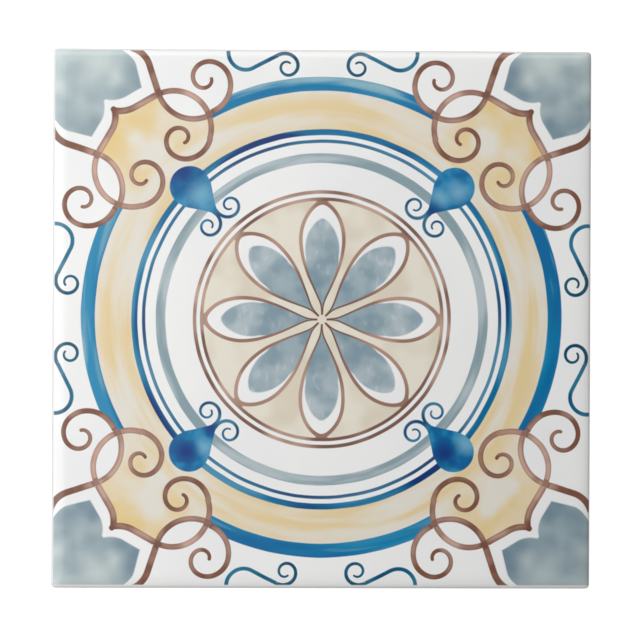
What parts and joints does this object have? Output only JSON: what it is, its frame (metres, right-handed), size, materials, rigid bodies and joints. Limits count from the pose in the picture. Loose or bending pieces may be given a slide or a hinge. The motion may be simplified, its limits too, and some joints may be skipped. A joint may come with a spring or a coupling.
{
  "type": "decorative tile",
  "caption": "Square glazed ceramic wall tile with a rolled cushion edge, a printed rosette-and-scroll face and a keyed back that beds into adhesive.",
  "frame": {"origin": "middle of the keyed back, in the plane of its ribs and rim, on which the tile lies", "axes": "+Z out of the glazed face, +Y towards the top of the ornament as the picture shows it, +X to its right"},
  "size_m": [0.1524, 0.1524, 0.0064],
  "materials": {
    "printed_glaze": "glossy white glaze with a flush watercolour-style print in blue, grey-blue, cream and brown; bare off-white biscuit on the undercut sides and back"
  },
  "bodies": {
    "root": {"tile": "printed_glaze"}
  },
  "joints": []
}
